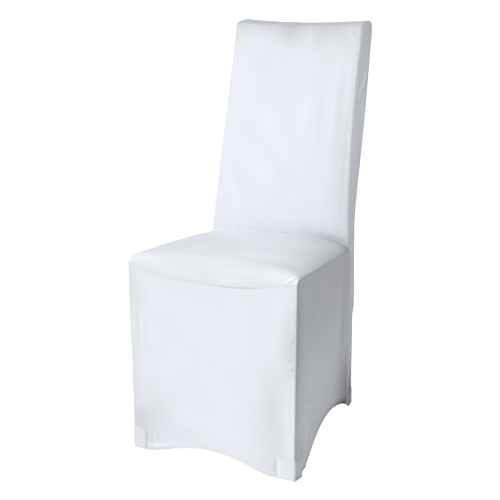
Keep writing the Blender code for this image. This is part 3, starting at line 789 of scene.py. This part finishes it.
HEMMED = ("front_skirt", "side_skirt", "gusset", "outside_back")
CREASED = {"seat": "high", "inside_back": "low"}
FRONT_SEAM = {"seat": "low", "front_skirt": "high"}
SLOW_SIZE, SLOW_LENGTH, SLOW_LEAN, SLOW_STRETCH = 0.00045, 0.16, 0.4, 1.3


def family(name):
    """The name of the tables' entry for a panel: sides share one entry."""
    return {"side_skirt_right": "side_skirt", "side_gusset_right": "gusset"}.get(name, name)


def own_places(name, points, way):
    """The two places in which FOLDS and PAINTED_SHADE_ZONES count for this panel."""
    if name == "seat":
        return points[..., 0], way["low"]
    if name == "top_gusset":
        return points[..., 0], points[..., 1]
    if name in ("side_skirt", "gusset"):
        return points[..., 1], points[..., 2]
    return points[..., 0], points[..., 2]


def relief(name, points, way, fold_share):
    """Height of the cloth over the smooth shell, and its painted shade: less in seams and troughs."""
    first, second = own_places(name, points, way)
    seams = [edge for edge in way if not (edge == "low" and name in HEMMED)]
    clear = np.ones_like(first)
    groove, line, lip = (np.zeros_like(first) for _ in range(3))
    for edge in seams:
        strength = seam_strength(name, edge, first)
        clear *= 1.0 - bell(way[edge] / SEAM_CLEAR)
        near = np.clip(1.0 - way[edge] / GROOVE_WIDTH, 0.0, 1.0)
        groove = np.maximum(groove, strength * near**2)
        line = np.maximum(line, strength * np.clip(1.0 - way[edge] / LINE_WIDTH, 0.0, 1.0))
        lip += strength * bell((way[edge] - LIP_PLACE) / LIP_HALF)
    height = (fold_share * fold_height(first, second, FOLDS[name]) + LIP_RISE * lip) * clear
    along = {"left": way["low"], "right": way["low"], "low": way["left"], "high": way["left"]}
    for edge, size, length, reach, seed in PUCKERS[name]:
        height += clear * pucker_height(way[edge], along[edge], size, length, reach, seed)
    seed = float(sorted(FOLDS).index(name))
    slow = uneven(first + SLOW_LEAN * second, SLOW_LENGTH, seed)
    slow = slow * uneven(second, SLOW_STRETCH * SLOW_LENGTH, seed + 0.5)
    height += clear * SLOW_SIZE * slow
    height = (height - GROOVE_DEPTH * groove) * (1.0 - under_patch(name, first, second))
    # Painted shade: a dark line in the seam grooves, darker troughs and lighter ridges.
    shade = 1.0 - LINE_SHADE * line + FOLD_PAINTED_SHADING * (height + GROOVE_DEPTH * groove)
    # Painted shade and light along the edges and in soft spots: a positive loss darkens the colour, a
    # negative one lightens it.
    for edge, reach, loss in EDGE_SHADES[name]:
        shade -= loss * np.exp(-way[edge] / reach)
    for a0, b0, half_a, half_b, loss in PAINTED_SHADE_ZONES[name]:
        shade -= loss * bell((first - a0) / half_a) * bell((second - b0) / half_b)
    return height, shade


print("folds:", {name: len(rows) for name, rows in FOLDS.items()})

# %% [markdown]
# ## From surface to sheet
#
# The outer side is the shell at the depth that the heights give, and the inner side lies one cloth thickness
# further in. At a hem the cloth is double, and its edge is a half round. The rim joins both sides, so that
# each piece is one closed sheet. The piece's own UV map holds the flat cloth in metres, and the attribute
# "shade" holds the painted light and shade that multiply the cloth's colour.

# %% Build one sheet
HEM_BLEND = 0.0012
STITCH_INSET, STITCH_HALF, STITCH_DENT = 0.0016, 0.0007, 0.6
SHARP_ANGLE = 60.0


def half_round(distance, radius):
    """How far the cloth's side falls back at its edge: a quarter of a circle of this radius."""
    inside = np.clip(1.0 - distance / radius, 0.0, 1.0)
    return radius * (1.0 - np.sqrt(1.0 - inside**2))


def hem_shape(distance):
    """Raise of the hem's band, its thickness, and the set-back of its half-round edge."""
    band = blend(HEM_WIDTH - distance, HEM_BLEND)
    stitch = STITCH_DENT * bell((distance - HEM_WIDTH + STITCH_INSET) / STITCH_HALF)
    thickness = CLOTH + (HEM_CLOTH - CLOTH) * band
    return HEM_RAISE * (band - stitch), thickness, half_round(distance, HEM_CLOTH / 2)


def twice(values):
    """The values of a grid for its outer side, and again for its inner side."""
    return np.concatenate([values.ravel()] * 2)


def closed_mesh(name, outer, inner, flat_u, flat_v, shade):
    """Mesh from two grids and their rim, facing outwards, with its UV map and its attribute."""
    rows, columns = outer.shape[:2]
    size = rows * columns
    grid = np.arange(size).reshape(rows, columns)
    quads = np.stack([grid[:-1, :-1], grid[:-1, 1:], grid[1:, 1:], grid[1:, :-1]], axis=-1)
    quads = quads.reshape(-1, 4)
    rim = np.concatenate([grid[0, :-1], grid[:-1, -1], grid[-1, :0:-1], grid[:0:-1, 0]])
    after = np.roll(rim, -1)
    band = np.stack([after, rim, rim + size, after + size], axis=-1)
    faces = np.concatenate([quads, quads[:, ::-1] + size, band])
    points = np.concatenate([outer.reshape(-1, 3), inner.reshape(-1, 3)])
    a, b, c, d = (points[faces[:, k]] for k in range(4))
    volume = np.sum(np.cross(a, b) * c) + np.sum(np.cross(a, c) * d)
    if volume < 0:
        faces = faces[:, ::-1]
    mesh = bpy.data.meshes.new(name)
    mesh.from_pydata(points.tolist(), [], faces.tolist())
    mesh.validate()
    flat = np.stack([twice(flat_u), twice(flat_v)], axis=-1)
    corners = np.empty(len(mesh.loops), dtype=np.int32)
    mesh.loops.foreach_get("vertex_index", corners)
    mesh.uv_layers.new(name="flat").data.foreach_set("uv", flat[corners].ravel())
    tone = mesh.attributes.new("shade", "FLOAT", "POINT")
    tone.data.foreach_set("value", twice(shade))
    mesh.shade_smooth()
    mesh.set_sharp_from_angle(angle=math.radians(SHARP_ANGLE))
    return mesh


def link_object(name, data):
    """New object for this mesh, lamp or camera, in the scene."""
    made = bpy.data.objects.new(name, data)
    bpy.context.scene.collection.objects.link(made)
    return made


def to_model(points, side):
    """Move grid points to the model's frame, on the right (1) or mirrored to the left (-1)."""
    return points * np.array((side, 1.0, 1.0)) + np.array((0.0, SHIFT, 0.0))


def sheet_area(points):
    """Area of a grid of points, from the diagonals of its cells."""
    first = points[1:, 1:] - points[:-1, :-1]
    second = points[1:, :-1] - points[:-1, 1:]
    return float(0.5 * np.linalg.norm(np.cross(first, second), axis=-1).sum())


def make_piece(node, side, outer, inner, flat, shade, material):
    """Sew one sheet: it rides on the root body and stands for its part, whose imported mesh is hidden."""
    name = "cloth_" + node
    mesh = closed_mesh(name, to_model(outer, side), to_model(inner, side), *flat, shade)
    piece = link_object(name, mesh)
    mesh.materials.append(material)
    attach(piece, "root")
    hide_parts(node)


def panel_grids(name, fold_share=1.0):
    """Outer and inner grid of a panel, its ways to the edges and its shade, with a share of its folds."""
    surface, kind = PANELS[name], family(name)
    base = surface(0.0)
    way = edge_distances(base)
    height, shade = relief(kind, base, way, fold_share)
    thickness, setback = np.full_like(height, CLOTH), np.zeros_like(height)
    if kind in HEMMED:
        raised, thickness, setback = hem_shape(way["low"])
        height = height + raised * (1.0 - under_patch(kind, *own_places(kind, base, way)))
    outer = surface(setback - height)
    inner = surface(thickness - setback - height)
    return outer, inner, way, shade


sample = panel_grids("front_skirt")[0]
print("front skirt area in m2:", round(sheet_area(sample), 4))
print("its points per side:", sample.shape[0] * sample.shape[1])

# %% [markdown]
# ## Materials
#
# Spandex is a fine warp knit: rows of tiny loops that stand in columns, or wales, less than a millimetre
# apart. It is matt, with a little sheen. The node group "fine knit" turns the flat map into a height for the
# loops and into a slow drift of the tone by one or two parts in a hundred. The attribute "shade" multiplies
# the colour: it holds painted shade in the seams, troughs and soft dark spots, and painted light on ridges
# and soft light spots. A second group, "hem stitches", is the row of stitches above a hem.

# %% Materials
WALE = 0.0008
COURSE = 0.0010
LOOP_LEAN, RUNG_SHARE = 0.18, 0.35
DRIFT_SCALE, DRIFT_DETAIL = 14.0, 3.0
STITCH_LENGTH, STITCH_WIDTH, STITCH_HEIGHT = 0.0032, 0.0004, 0.00025
DASH_GAIN, DASH_MIDDLE = 1.6, 0.7
SPECULAR, SHEEN_ROUGHNESS = 0.3, 0.5


def feed(tree, node, values):
    """Set a node's inputs by place or name: to a value, or by a link from another node's output."""
    for key, value in values.items():
        if isinstance(value, bpy.types.NodeSocket):
            tree.links.new(value, node.inputs[key])
        else:
            node.inputs[key].default_value = value
    return node


def add_node(tree, kind, values=None, **settings):
    """Add a shader node, set its properties, then its inputs."""
    node = tree.nodes.new(kind)
    for key, value in settings.items():
        setattr(node, key, value)
    return feed(tree, node, values or {})


def maths(tree, operation, first, second=0.0, third=0.0):
    """One arithmetic node, and its result."""
    values = {0: first, 1: second, 2: third}
    return add_node(tree, "ShaderNodeMath", values, operation=operation).outputs[0]


def times(tree, color, factor):
    """A colour times a factor."""
    return add_node(tree, "ShaderNodeVectorMath", {0: color, 1: factor}, operation="MULTIPLY").outputs[0]


def new_group(name, inputs, outputs):
    """Empty node group with float and vector sockets."""
    group = bpy.data.node_groups.new(name, "ShaderNodeTree")
    for label, kind in inputs:
        group.interface.new_socket(label, in_out="INPUT", socket_type=kind)
    for label, kind in outputs:
        group.interface.new_socket(label, in_out="OUTPUT", socket_type=kind)
    return group, group.nodes.new("NodeGroupInput"), group.nodes.new("NodeGroupOutput")


def wave(tree, value, length):
    """Sine of a place, with this wave length."""
    return maths(tree, "SINE", maths(tree, "MULTIPLY", value, 2.0 * math.pi / length))


def knit_group():
    """Loop height: a wale's ridge that leans left and right along the courses; and a slow tone."""
    group, source, sink = new_group(
        "fine knit",
        [("Flat", "NodeSocketVector"), ("Wale", "NodeSocketFloat"), ("Course", "NodeSocketFloat")],
        [("Height", "NodeSocketFloat"), ("Tone", "NodeSocketFloat")],
    )
    split = add_node(group, "ShaderNodeSeparateXYZ", {0: source.outputs["Flat"]})
    course = maths(group, "DIVIDE", split.outputs[1], source.outputs["Course"])
    lean = maths(group, "MULTIPLY", wave(group, course, 1.0), LOOP_LEAN)
    wale = maths(group, "ADD", maths(group, "DIVIDE", split.outputs[0], source.outputs["Wale"]), lean)
    ridge, rung = wave(group, wale, 1.0), wave(group, course, 0.5)
    height = maths(group, "MULTIPLY_ADD", rung, RUNG_SHARE, ridge)
    values = {"Vector": source.outputs["Flat"], "Scale": DRIFT_SCALE, "Detail": DRIFT_DETAIL}
    drift = add_node(group, "ShaderNodeTexNoise", values)
    feed(group, sink, {"Height": height, "Tone": drift.outputs["Fac"]})
    return group


def stitch_group():
    """Row of stitches: dashes along the hem at one height above its edge, as a height of 0 to 1."""
    group, source, sink = new_group(
        "hem stitches",
        [("Flat", "NodeSocketVector"), ("Above", "NodeSocketFloat")],
        [("Height", "NodeSocketFloat")],
    )
    split = add_node(group, "ShaderNodeSeparateXYZ", {0: source.outputs["Flat"]})
    off = maths(group, "SUBTRACT", split.outputs[1], source.outputs["Above"])
    near = maths(group, "DIVIDE", maths(group, "ABSOLUTE", off), STITCH_WIDTH)
    line = maths(group, "MAXIMUM", maths(group, "SUBTRACT", 1.0, near), 0.0)
    dash = maths(group, "MULTIPLY_ADD", wave(group, split.outputs[0], STITCH_LENGTH), DASH_GAIN, DASH_MIDDLE)
    dash = maths(group, "MINIMUM", maths(group, "MAXIMUM", dash, 0.0), 1.0)
    feed(group, sink, {"Height": maths(group, "MULTIPLY", line, dash)})
    return group


KNIT = knit_group()
STITCHES = stitch_group()


def cloth_material(name, color, roughness, sheen, loops, wale, drift, stitches_at=None):
    """Matt cloth: colour with a slow drift and painted shade, knit loops and stitches as bumps."""
    material = bpy.data.materials.new(name)
    material.use_nodes = True
    tree = material.node_tree
    shader = tree.nodes["Principled BSDF"]
    flat = add_node(tree, "ShaderNodeUVMap", uv_map="flat").outputs["UV"]
    shade = add_node(tree, "ShaderNodeAttribute", attribute_name="shade").outputs["Fac"]
    values = {"Flat": flat, "Wale": wale, "Course": wale * COURSE / WALE}
    knit = add_node(tree, "ShaderNodeGroup", values, node_tree=KNIT)
    # The attribute's painted light and shade multiply the colour, with the slow drift added.
    tone = maths(tree, "MULTIPLY_ADD", maths(tree, "SUBTRACT", knit.outputs["Tone"], 0.5), drift, shade)
    feed(tree, shader, {
        "Base Color": times(tree, color, tone), "Roughness": roughness, "Metallic": 0.0,
        "Specular IOR Level": SPECULAR, "Sheen Weight": sheen, "Sheen Roughness": SHEEN_ROUGHNESS,
    })
    height = maths(tree, "MULTIPLY", knit.outputs["Height"], loops)
    if stitches_at is not None:
        values = {"Flat": flat, "Above": stitches_at}
        stitches = add_node(tree, "ShaderNodeGroup", values, node_tree=STITCHES)
        height = maths(tree, "MULTIPLY_ADD", stitches.outputs["Height"], STITCH_HEIGHT, height)
    bumps = add_node(tree, "ShaderNodeBump", {"Height": height, "Distance": 1.0, "Strength": 1.0})
    feed(tree, shader, {"Normal": bumps.outputs["Normal"]})
    return material


PATCH_EDGE = 0.0030
SPANDEX = {
    "color": (0.808, 0.828, 0.876), "roughness": 0.62, "sheen": 0.12,
    "loops": 0.000012, "wale": WALE, "drift": 0.05,
}
PATCH_WEAVE = {
    "color": (0.800, 0.822, 0.850), "roughness": 0.72, "sheen": 0.05,
    "loops": 0.000020, "wale": 1.5 * WALE, "drift": 0.03,
}
plain = cloth_material("spandex", **SPANDEX)
hemmed = cloth_material("spandex with hem", stitches_at=HEM_WIDTH - STITCH_INSET, **SPANDEX)
heavy = cloth_material("patch cloth", stitches_at=PATCH_EDGE, **PATCH_WEAVE)
print("materials:", [m.name for m in (plain, hemmed, heavy)])

# %% [markdown]
# ## Sewing the cover
#
# Now every panel becomes a sheet. The two sides of the cover are cut alike, so the left skirt and gusset are
# the right ones mirrored. The photo shows only the right side, so the left one gets about half of its folds
# and of its painted light and shade. The flat size of each panel is its own span over the cloth.

# %% Make the panels
LEFT_FOLDS, LEFT_PAINTED_SHADE = 0.45, 0.50

for panel_name in PANELS:
    sides = {"": 1.0} if not panel_name.endswith("_right") else {"_right": 1.0, "_left": -1.0}
    for ending, side in sides.items():
        folds, painted_shade_share = (LEFT_FOLDS, LEFT_PAINTED_SHADE) if side < 0 else (1.0, 1.0)
        outer, inner, way, shade = panel_grids(panel_name, folds)
        # The left side keeps only a share of the painted light and shade.
        shade = 1.0 + painted_shade_share * (shade - 1.0)
        node = panel_name.removesuffix("_right") + ending
        cloth = hemmed if family(panel_name) in HEMMED else plain
        flat = (way["left"], way["low"])
        make_piece(node, side, outer, inner, flat, shade, cloth)

# %% [markdown]
# ## Foot patches
#
# A foot wears through thin knit, so a square of heavier cloth is sewn over each corner at the
# floor. It wraps from the front or rear face round to the side. Its free edges are turned under,
# which makes them thicker, and the row of stitches lies just inside them. The inner upper corner of
# the front right patch is peaked. The front left patch has a round one, and it is a little narrower
# and higher.

# %% Make the foot patches
PATCH_CLOTH = 0.0013
PATCH_STEP = 0.0018
PATCH_RIM, PATCH_RIM_LOSS = 0.0045, 0.55
PATCH_DENT, PATCH_DENT_HALF = 0.0002, 0.0006
PATCH_ROUND, PATCH_CLEAR = 0.2, 0.0001
FACE_WING_END, SIDE_WING_START = 0.985, 0.02
CRUMPLE, CRUMPLE_ALONG, CRUMPLE_UP, CRUMPLE_LOW = 0.0006, 0.021, 0.034, -0.0003
CRUMPLE_SEEDS = (31.0, 32.0)
# Painted highlight along the inner edge of the right patches, and how fast it fades.
PAINTED_EDGE_HIGHLIGHT, PAINTED_EDGE_HIGHLIGHT_REACH = 0.03, 0.006
CORNER_PEAK, CORNER_REACH = 0.005, 0.014
PATCH_FACE, PATCH_TURN = 0.042, 0.006
# Painted shade along the hem of a patch's side wing, and how fast it fades.
PATCH_HEM_PAINTED_SHADE, PATCH_HEM_SHADE_REACH = 0.50, 0.006
# Painted shade on each patch, on its face and on its side wing; the rear right wing lies in deep shade.
PATCH_SHADES = {
    "foot_patch_front_left": (0.05, 0.05), "foot_patch_front_right": (0.00, 0.03),
    "foot_patch_rear_left": (0.04, 0.04), "foot_patch_rear_right": (0.04, 0.46),
}


def patch_surface(front, side):
    """Patch as one grid: columns run from the face's wing round the corner to the side's wing."""
    sizes = FRONT_PATCH if front else REAR_PATCH
    arch_sizes = FRONT_ARCH if front else REAR_ARCH
    face_x = SEAT_HALF_WIDTH if front else BACK_HALF_WIDTH
    start, rise = (LEFT_PATCH_ACROSS, LEFT_PATCH_RISE) if front and side < 0 else (PATCH_ACROSS, 0.0)
    face_height = sizes["face_height"] + rise
    face_share = spread(face_x * (1.0 - start), PATCH_STEP)
    face_share = face_share[face_share < FACE_WING_END][None, :]
    side_share = spread(sizes["side_length"], PATCH_STEP)
    side_share = side_share[side_share > SIDE_WING_START][None, :]
    rows = spread(sizes["face_height"], PATCH_STEP)[:, None]
    from_corner = face_share * face_x * (1.0 - start) / CORNER_REACH
    peak = side * CORNER_PEAK * np.clip(1.0 - from_corner, 0.0, 1.0) ** 2 if front else 0.0
    top = face_height + peak
    slope = sizes["side_height"] + (face_height - sizes["side_height"]) * (1.0 - side_share) ** 2

    def surface(depth):
        across = start + face_share * (1.0 - start)
        across = np.minimum(across, 1.0 - EDGE_TRIM)
        face_depth = depth[:, : face_share.shape[1]]
        side_depth = depth[:, face_share.shape[1]:]
        lift = (1.0 - rows) * arch(arch_sizes, across * face_x)
        z = PATCH_LIFT + lift + rows * (top - PATCH_LIFT)
        face = (front_surface if front else rear_surface)(across, z, face_depth)
        z = PATCH_LIFT + rows * (slope - PATCH_LIFT)
        if front:
            fore = SEAT_FRONT + box_step(z) + side_depth
            y = fore + side_share * sizes["side_length"]
        else:
            y = rear_face(z) - side_depth - side_share * sizes["side_length"]
        wing = side_surface(y, z + (1.0 - rows) * arch(SIDE_ARCH, y), side_depth)
        return np.concatenate([face, wing], axis=1)

    return surface, (len(rows), face_share.shape[1] + side_share.shape[1])


for place_name in ("front", "rear"):
    for ending, side in (("_right", 1.0), ("_left", -1.0)):
        surface, shape = patch_surface(place_name == "front", side)
        base = surface(np.zeros(shape))
        way = edge_distances(base)
        free = np.minimum.reduce([way["left"], way["right"], way["high"]])
        rim = PATCH_CLOTH * PATCH_RIM_LOSS * (1.0 - smooth_step(free / PATCH_RIM))
        dent = PATCH_DENT * bell((free - PATCH_EDGE) / PATCH_DENT_HALF)
        crumple = CRUMPLE * uneven(base[..., 0] + base[..., 1], CRUMPLE_ALONG, CRUMPLE_SEEDS[0] + side)
        crumple = np.maximum(crumple * uneven(base[..., 2], CRUMPLE_UP, CRUMPLE_SEEDS[1]), CRUMPLE_LOW)
        setback = half_round(np.minimum(free, way["low"]), PATCH_ROUND * PATCH_CLOTH)
        lift = PATCH_GAP + PATCH_CLEAR
        outer = surface(-(lift + PATCH_CLOTH - rim - dent + crumple - setback))
        inner = surface(-(lift + setback))
        node = "foot_patch_" + place_name + ending
        # Painted shade on the face and side wing, a painted highlight along the inner edge, and painted
        # shade along the wing's hem.
        face_loss, side_loss = PATCH_SHADES[node]
        round_corner = blend(way["left"] - PATCH_FACE, PATCH_TURN)
        shade = 1.0 - face_loss - (side_loss - face_loss) * round_corner
        shade += PAINTED_EDGE_HIGHLIGHT * (1.0 + side) * np.exp(-way["left"] / PAINTED_EDGE_HIGHLIGHT_REACH)
        shade -= PATCH_HEM_PAINTED_SHADE * round_corner * np.exp(-way["low"] / PATCH_HEM_SHADE_REACH)
        flat = (way["left"], free)
        make_piece(node, side, outer, inner, flat, shade, heavy)

# %% [markdown]
# ## Floor, light and camera
#
# A plain floor and the room round it look white to the camera, but they light the cover with less
# strength. Soft lamps shine from the front, from the left and from above. The right side is in the
# shade, where a faint bluish lamp shows the ridges. The camera stands at the photo's place: to the
# right, a little above the back's top, looking down by 15 degrees through a lens of 68 mm.

# %% Floor, light and camera
CAMERA_PLACE = (0.9373, -1.8404 + SHIFT, 1.0963)
CAMERA_YAW, CAMERA_DOWN = math.radians(24.42), math.radians(15.24)
LENS, SENSOR = 67.96, 36.0

FLOOR_REACH, FLOOR_DROP = 2000.0, 0.0005
FLOOR_GREY, FLOOR_ROUGHNESS = (0.20, 0.20, 0.20, 1.0), 0.8
FLOOR_LIGHT, WORLD_LIGHT = 0.60, 0.10
FLOOR_TINT, WORLD_TINT = (0.985, 0.990, 1.0), (1.0, 1.0, 1.0)


def white_to_camera(tree, tint, strength):
    """Colour that looks white, while it lights the cover only with this strength of its tint."""
    seen = add_node(tree, "ShaderNodeLightPath").outputs["Is Camera Ray"]
    return times(tree, tint, maths(tree, "MULTIPLY_ADD", seen, 1.0 - strength, strength))


floor_mesh = bpy.data.meshes.new("floor")
corners = [(x * FLOOR_REACH, y * FLOOR_REACH, 0.0) for x, y in ((-1, -1), (1, -1), (1, 1), (-1, 1))]
floor_mesh.from_pydata(corners, [], [(0, 1, 2, 3)])
floor = link_object("floor", floor_mesh)
floor.location.z = -FLOOR_DROP
floor_material = bpy.data.materials.new("pale floor")
floor_material.use_nodes = True
tree = floor_material.node_tree
feed(tree, tree.nodes["Principled BSDF"], {
    "Base Color": FLOOR_GREY, "Roughness": FLOOR_ROUGHNESS, "Emission Strength": 1.0,
    "Emission Color": white_to_camera(tree, FLOOR_TINT, FLOOR_LIGHT),
})
floor_mesh.materials.append(floor_material)

SOFTNESS = 40.0
LIGHT_COLUMNS = ("name", "degrees to the left", "degrees up", "strength", "red", "green")
LIGHTS = (
    ("front", 20.0, 10.0, 1.75, 1.0, 1.0),
    ("left", 75.0, 30.0, 0.85, 1.0, 1.0),
    ("above", 0.0, 89.0, 1.64, 1.0, 1.0),
    ("right", -80.0, 8.0, 0.18, 0.74, 0.86),
)
for row in LIGHTS:
    light = dict(zip(LIGHT_COLUMNS, row))
    lamp_data = bpy.data.lights.new(light["name"], "SUN")
    lamp_data.energy = light["strength"]
    lamp_data.angle = math.radians(SOFTNESS)
    lamp_data.color = (light["red"], light["green"], 1.0)
    lamp = link_object(light["name"], lamp_data)
    tilt, turn = 90.0 - light["degrees up"], -light["degrees to the left"]
    lamp.rotation_euler = (math.radians(tilt), 0.0, math.radians(turn))

world = bpy.data.worlds.new("studio")
bpy.context.scene.world = world
world.use_nodes = True
tree = world.node_tree
glow = white_to_camera(tree, WORLD_TINT, WORLD_LIGHT)
feed(tree, tree.nodes["Background"], {"Strength": 1.0, "Color": glow})
bpy.context.scene.view_settings.view_transform = "Standard"

camera_data = bpy.data.cameras.new("camera")
camera_data.lens, camera_data.sensor_width = LENS, SENSOR
camera = link_object("camera", camera_data)
camera.location = CAMERA_PLACE
camera.rotation_euler = (math.pi / 2 - CAMERA_DOWN, 0.0, CAMERA_YAW)
bpy.context.scene.camera = camera
print("camera at", [round(v, 3) for v in CAMERA_PLACE])
